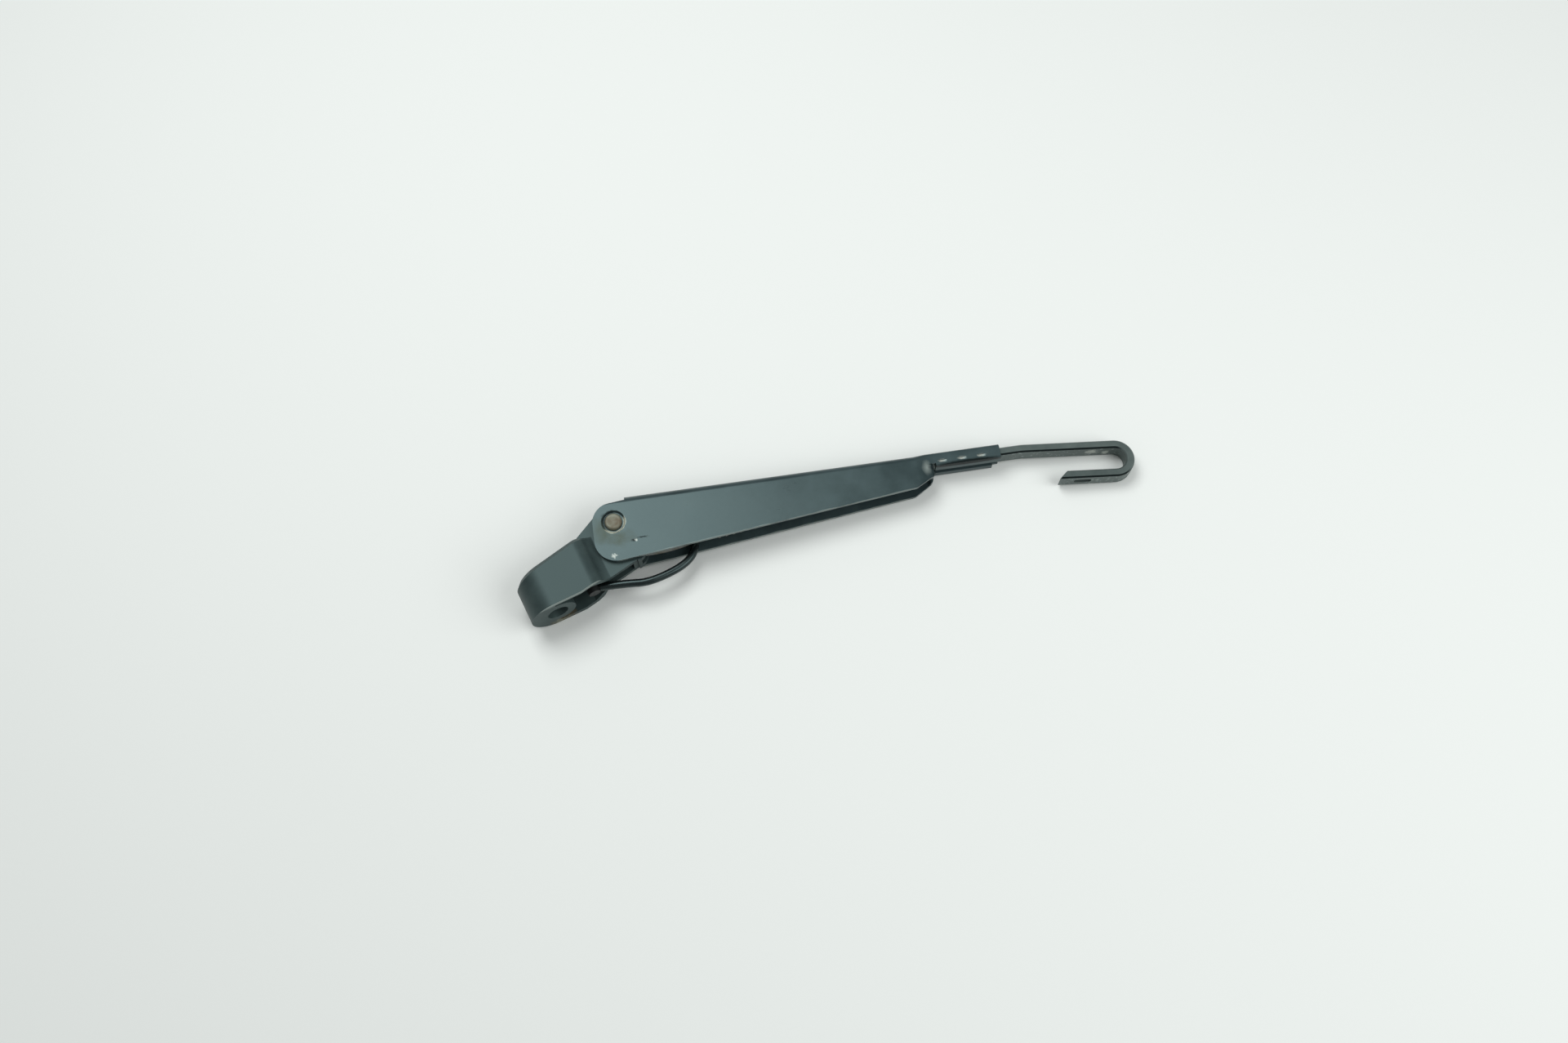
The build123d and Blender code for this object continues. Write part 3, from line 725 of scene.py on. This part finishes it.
class WIPER_OT_tension_spring(bpy.types.Operator):
    """Makes the round-wire tension spring"""

    bl_idname = "wiper.tension_spring"
    bl_label = "Tension spring"

    def execute(self, context):
        finish = context.scene.wiper_finish
        sizes = context.scene.wiper_sizes
        radius = sizes.coil_radius
        up = Vector((0, 0, 1))
        out = up.cross(PULL)
        outer_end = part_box("tension_spring")[1].x - sizes.wire_radius
        reach = (outer_end - SPRING_PIN.x) / PULL.x
        near = sizes.link_length + radius
        far = reach - radius
        sink = COIL_SINK * radius
        points = []
        for n in range(LOOP_STEPS, -1, -1):
            angle = math.pi / 2 + LOOP_WRAP * n / LOOP_STEPS
            points.append(PULL * (near + radius * math.cos(angle)) + up * radius * math.sin(angle))
        turns = sizes.coil_turns + COIL_PART_TURN
        count = round(turns * COIL_STEPS)
        for n in range(count + 1):
            angle = 2 * math.pi * turns * n / count
            along = near + sink + (far - near - 2 * sink) * n / count
            points.append(PULL * along + (up * math.cos(angle) + out * math.sin(angle)) * radius)
        for n in range(LOOP_STEPS + 1):
            angle = math.pi / 2 - LOOP_WRAP * n / LOOP_STEPS
            points.append(PULL * (far + radius * math.cos(angle)) + out * radius * math.sin(angle))
        placed = [SPRING_PIN + point for point in points]
        spring = tube("tension_spring_wire", placed, sizes.wire_radius, WIRE_SIDES)
        # Drawn spring wire: grey and oily, with brown specks of rust
        wire = plain(
            "drawn spring wire",
            finish.spring_steel,
            finish.rust,
            roughness=0.38,
            metallic=0.75,
            grain=0.8,
            depth=0.05,
        )
        dress(spring, wire)
        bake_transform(spring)
        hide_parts("tension_spring")
        return {"FINISHED"}


class WIPER_OT_mounting_head(bpy.types.Operator):
    """Dresses the cast head"""

    bl_idname = "wiper.mounting_head"
    bl_label = "Mounting head"

    def execute(self, context):
        finish = context.scene.wiper_finish
        head = soften("mounting_head", context.scene.wiper_sizes.edge_round)

        def marks(tree, place):
            """A painted highlight along the near lower edge, and grit and rust on the far one."""
            rim = facing(tree, HEAD_DOWN, least=0.6)
            height = add_node(tree, "ShaderNodeSeparateXYZ", {0: place}).outputs["Z"]
            near = add_node(
                tree,
                "ShaderNodeMapRange",
                {"Value": height, "From Min": NEAR_RIM[0], "From Max": NEAR_RIM[1]},
            )
            # Only the near rim gets this painted highlight
            bright = add_node(
                tree, "ShaderNodeMath", {0: rim, 1: near.outputs[0]}, operation="MULTIPLY"
            )
            layers = [(bright.outputs[0], finish.rubbed_metal_and_highlight, 1.0)]
            for mark_colour, centre, radii, grain, ragged in (
                (finish.rust, (-32.0, -35.5, -11.5), (9.0, 4.5, 5.0), 2.4, 1.5),
                (finish.rivet_steel, (-33.0, -36.0, -12.0), (6.0, 3.6, 4.0), 1.8, 1.8),
            ):
                layers.append((mark(tree, place, centre, radii, grain, ragged, soft=0.5), mark_colour, 0.4))
            return layers

        # Painted die casting: satin black and a little dull, gritty low down
        paint = painted(
            "black paint on die-cast zinc",
            finish.head_paint,
            finish.head_paint_dusty,
            patch=20,
            roughness=0.48,
            gloss=finish.paint_gloss,
            marks=marks,
        )
        dress(head, paint)
        return {"FINISHED"}


class WIPER_OT_arm_channel(bpy.types.Operator):
    """Dresses the pressed channel"""

    bl_idname = "wiper.arm_channel"
    bl_label = "Arm channel"

    def execute(self, context):
        finish = context.scene.wiper_finish
        channel = soften("arm_channel", context.scene.wiper_sizes.edge_round)

        def marks(tree, place):
            """Grime and chips by the pivot, edge wear with painted highlights, and painted glints and shade at the
            crimp.
            """

            def spot(centre, radii, grain, ragged, soft, mark_colour, kept):
                """One oval mark with its colour and its share of the paint's reflection."""
                return mark(tree, place, centre, radii, grain, ragged, soft), mark_colour, kept

            layers = [
                # Painted highlight with wear along the flanges' free edges
                (lip_highlight_and_wear(tree, place), finish.rubbed_metal_and_highlight, 1.0),
                # A smear and a drip of grime, then a darker disc over the dimple about the rivet
                spot((-5.5, -4.0, 8.1), (5.5, 8.5, 3.0), 5.0, 1.3, 0.9, finish.grime, 0.3),
                spot((2.0, -8.5, 8.1), (9.0, 5.0, 3.0), 4.0, 1.3, 0.9, finish.grime, 0.3),
                spot((-0.6, 0.6, 8.1), (5.7, 5.7, 3.0), 1.5, 0.4, 0.3, finish.soot_and_shade, 0.3),
                # Painted highlight with bare wear in a crescent on the dimple's wall
                (dimple_highlight_and_wear(tree, place), finish.worn_edge_and_highlight, 1.0),
                # Painted highlight on the bend where the crimp begins, and painted shade on its dark fold
                spot((150.8, 5.6, 6.1), (2.6, 4.4, 3.0), 3.0, 0.4, 1.0, finish.rubbed_metal_and_highlight, 1.0),
                spot((171.0, 5.6, 5.2), (22.0, 2.1, 2.4), 2.0, 0.2, 0.35, finish.soot_and_shade, 0.2),
            ]
            # Painted glints on the three stakes
            for along in STAKES:
                layers.append(
                    spot((along, 8.3, 5.8), (2.6, 1.0, 1.6), 1.2, 0.8, 1.0, finish.bare_metal_and_glint, 1.0)
                )
            # Two scratches, then two chips
            layers += [
                spot((8.6, -10.5, 8.0), (1.9, 0.9, 2.0), 0.8, 1.6, 0.7, finish.soot_and_shade, 0.1),
                spot((12.8, -9.5, 8.0), (3.0, 0.5, 2.0), 0.8, 1.6, 0.7, finish.soot_and_shade, 0.1),
                spot((-1.34, -17.1, 8.1), (1.45, 1.45, 2.0), 1.1, 2.0, 0.5, finish.bare_metal_and_glint, 1.0),
                spot((9.6, -10.6, 8.0), (0.9, 0.9, 2.0), 1.1, 2.0, 0.5, finish.bare_metal_and_glint, 1.0),
            ]
            return layers

        # Painted pressing: satin black, smooth on its flanks, bright where the paint is chipped
        paint = painted(
            "black paint on pressed steel",
            finish.arm_paint,
            finish.arm_paint_dusty,
            patch=24,
            roughness=0.31,
            gloss=finish.paint_gloss,
            marks=marks,
        )
        dress(channel, paint)
        return {"FINISHED"}


class WIPER_OT_hook_bar(bpy.types.Operator):
    """Dresses the hook bar"""

    bl_idname = "wiper.hook_bar"
    bl_label = "Hook bar"

    def execute(self, context):
        finish = context.scene.wiper_finish
        bar = soften("hook_bar", context.scene.wiper_sizes.edge_round * BAR_EDGE_SHARE)

        def marks(tree, place):
            """Specks on the side towards the glass, painted shade along the edge above it, and patches that a
            blade's clip has rubbed bare.
            """
            inner = facing(tree, GLASS_SIDE, least=0.6)
            noise = add_node(
                tree, "ShaderNodeTexNoise", {"Vector": place, "Scale": per(1.6), "Detail": 4.0}
            )
            specks = add_node(
                tree,
                "ShaderNodeMapRange",
                {
                    "Value": noise.outputs["Fac"],
                    "From Min": SPECK_SPAN[0],
                    "From Max": SPECK_SPAN[1],
                },
            )
            worn = add_node(
                tree, "ShaderNodeMath", {0: inner, 1: specks.outputs[0]}, operation="MULTIPLY"
            )
            # Painted shade along the bar's edge above the glass side
            edge = facing(tree, GLASS_EDGE, least=0.84)
            layers = [(worn.outputs[0], finish.rubbed_metal_and_highlight, 1.0), (edge, finish.soot_and_shade, 0.2)]
            for centre, radii in (
                ((232.0, 4.6, 0.6), (3.4, 2.0, 3.0)),
                ((238.6, 4.0, -1.0), (2.0, 2.0, 2.4)),
            ):
                rub = mark(tree, place, centre, radii, grain=1.6, ragged=1.5, soft=0.5)
                layers.append((rub, finish.bare_metal_and_glint, 1.0))
            return layers

        # Thin paint on rolled flat bar: mottled grey, rubbed through at the hook
        paint = painted(
            "thin black paint on rolled steel bar",
            finish.bar_paint,
            finish.bar_paint_rubbed,
            patch=8,
            roughness=0.4,
            gloss=finish.paint_gloss,
            marks=marks,
        )
        dress(bar, paint)
        return {"FINISHED"}


class WIPER_OT_pivot_rivet(bpy.types.Operator):
    """Makes the pivot rivet with its formed heads"""

    bl_idname = "wiper.pivot_rivet"
    bl_label = "Pivot rivet"

    def execute(self, context):
        finish = context.scene.wiper_finish
        dish = context.scene.wiper_sizes.rivet_dish
        low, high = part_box("pivot_rivet")
        rim = (high.x - low.x) / 2
        top = high.z
        seat = top - RIVET_HEAD
        upper = [(RIVET_SHANK, seat), (rim, seat)]
        upper += [(rim - inset * MM, top - drop * MM) for inset, drop in RIVET_EDGE]
        upper += [(rim - inset * MM, top - dish * share) for inset, share in RIVET_DISH]
        upper.append((0, top - dish))
        lower = [(radius, -height) for radius, height in reversed(upper)]
        rivet = lathe("pivot_rivet_turned", lower + upper, Vector((PIVOT.x, PIVOT.y, 0)))
        # Cold-formed bare steel: olive grey with thin rust, duller than fresh metal
        steel = plain(
            "cold-formed bare steel",
            finish.rivet_steel,
            finish.rust,
            roughness=0.52,
            metallic=0.25,
            grain=0.9,
            depth=0.1,
        )
        dress(rivet, steel)
        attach(rivet, "arm")
        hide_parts("pivot_rivet")
        return {"FINISHED"}


class WIPER_OT_inner_fittings(bpy.types.Operator):
    """Dresses the small pieces inside the head and the channel"""

    bl_idname = "wiper.inner_fittings"
    bl_label = "Inner fittings"

    def execute(self, context):
        finish = context.scene.wiper_finish
        # Moulded acetal: pale and waxy
        acetal = plain(
            "acetal, moulded",
            finish.bush_plastic,
            finish.rivet_steel,
            roughness=0.4,
            metallic=0.0,
            grain=2.0,
            depth=0.02,
        )
        # Moulded nylon: black, with the mould's fine spark grain
        nylon = plain(
            "nylon, moulded",
            finish.fitting_plastic,
            finish.hose_rubber,
            roughness=0.5,
            metallic=0.0,
            grain=0.6,
            depth=0.04,
        )
        # Blanked strap and drawn pin: grey metal with a soft shine and a little rust
        steel = plain(
            "blanked spring steel",
            finish.spring_steel,
            finish.rust,
            roughness=0.4,
            metallic=0.8,
            grain=1.0,
            depth=0.05,
        )
        for node, material, edge_mm in (
            ("pivot_bush", acetal, 0.15),
            ("spring_pin", steel, 0.25),
            ("spring_link", steel, 0.25),
            ("hose_elbow", nylon, 0.25),
            ("hose_clip", nylon, 0.2),
            ("washer_jet", nylon, 0.25),
        ):
            dress(soften(node, edge_mm * MM), material)
        return {"FINISHED"}


OPERATORS = (
    WIPER_OT_stage,
    WIPER_OT_washer_hose,
    WIPER_OT_tension_spring,
    WIPER_OT_mounting_head,
    WIPER_OT_arm_channel,
    WIPER_OT_hook_bar,
    WIPER_OT_pivot_rivet,
    WIPER_OT_inner_fittings,
)


class WIPER_PT_panel(bpy.types.Panel):
    """Lists the arm's pieces in the sidebar"""

    bl_idname = "WIPER_PT_panel"
    bl_label = "Wiper Arm"
    bl_space_type = "VIEW_3D"
    bl_region_type = "UI"
    bl_category = "Wiper Arm"

    def draw(self, context):
        for group in (context.scene.wiper_sizes, context.scene.wiper_finish):
            column = self.layout.column()
            for name in group.__annotations__:
                column.prop(group, name)
        for operator in OPERATORS:
            self.layout.operator(operator.bl_idname)


CLASSES = (ArmFinish, ArmSizes, *OPERATORS, WIPER_PT_panel)


def register():
    """Registers the classes and hangs their settings on the scene."""
    for made in CLASSES:
        bpy.utils.register_class(made)
    bpy.types.Scene.wiper_finish = bpy.props.PointerProperty(type=ArmFinish)
    bpy.types.Scene.wiper_sizes = bpy.props.PointerProperty(type=ArmSizes)


def unregister():
    """Takes the settings and the classes away again."""
    del bpy.types.Scene.wiper_sizes
    del bpy.types.Scene.wiper_finish
    for made in reversed(CLASSES):
        bpy.utils.unregister_class(made)


def main():
    """Makes every piece in order."""
    register()
    bpy.ops.wiper.stage()
    bpy.ops.wiper.washer_hose()
    bpy.ops.wiper.tension_spring()
    bpy.ops.wiper.mounting_head()
    bpy.ops.wiper.arm_channel()
    bpy.ops.wiper.hook_bar()
    bpy.ops.wiper.pivot_rivet()
    bpy.ops.wiper.inner_fittings()


if __name__ == "__main__":
    main()
